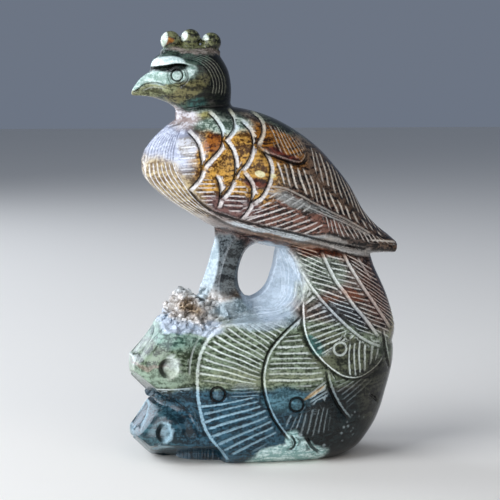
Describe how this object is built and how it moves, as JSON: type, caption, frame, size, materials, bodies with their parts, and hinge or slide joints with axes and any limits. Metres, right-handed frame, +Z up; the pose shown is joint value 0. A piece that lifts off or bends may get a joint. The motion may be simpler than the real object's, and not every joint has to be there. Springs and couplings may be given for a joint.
{
  "type": "stone carving",
  "caption": "Peacock carved from one block of banded jasper, standing on a rock with its train sweeping down behind it and a window cut behind the leg.",
  "frame": {"origin": "on the flat underside of the rock, below the middle of the carving's box", "axes": "-X is the way the bird looks, +X is the tail's end, Y runs across the wings, +Z is up"},
  "size_m": [0.0786, 0.039, 0.123],
  "materials": {
    "jasper": "polished, with matte ground cuts"
  },
  "bodies": {
    "root": {"peacock_carving": "jasper"}
  },
  "joints": []
}
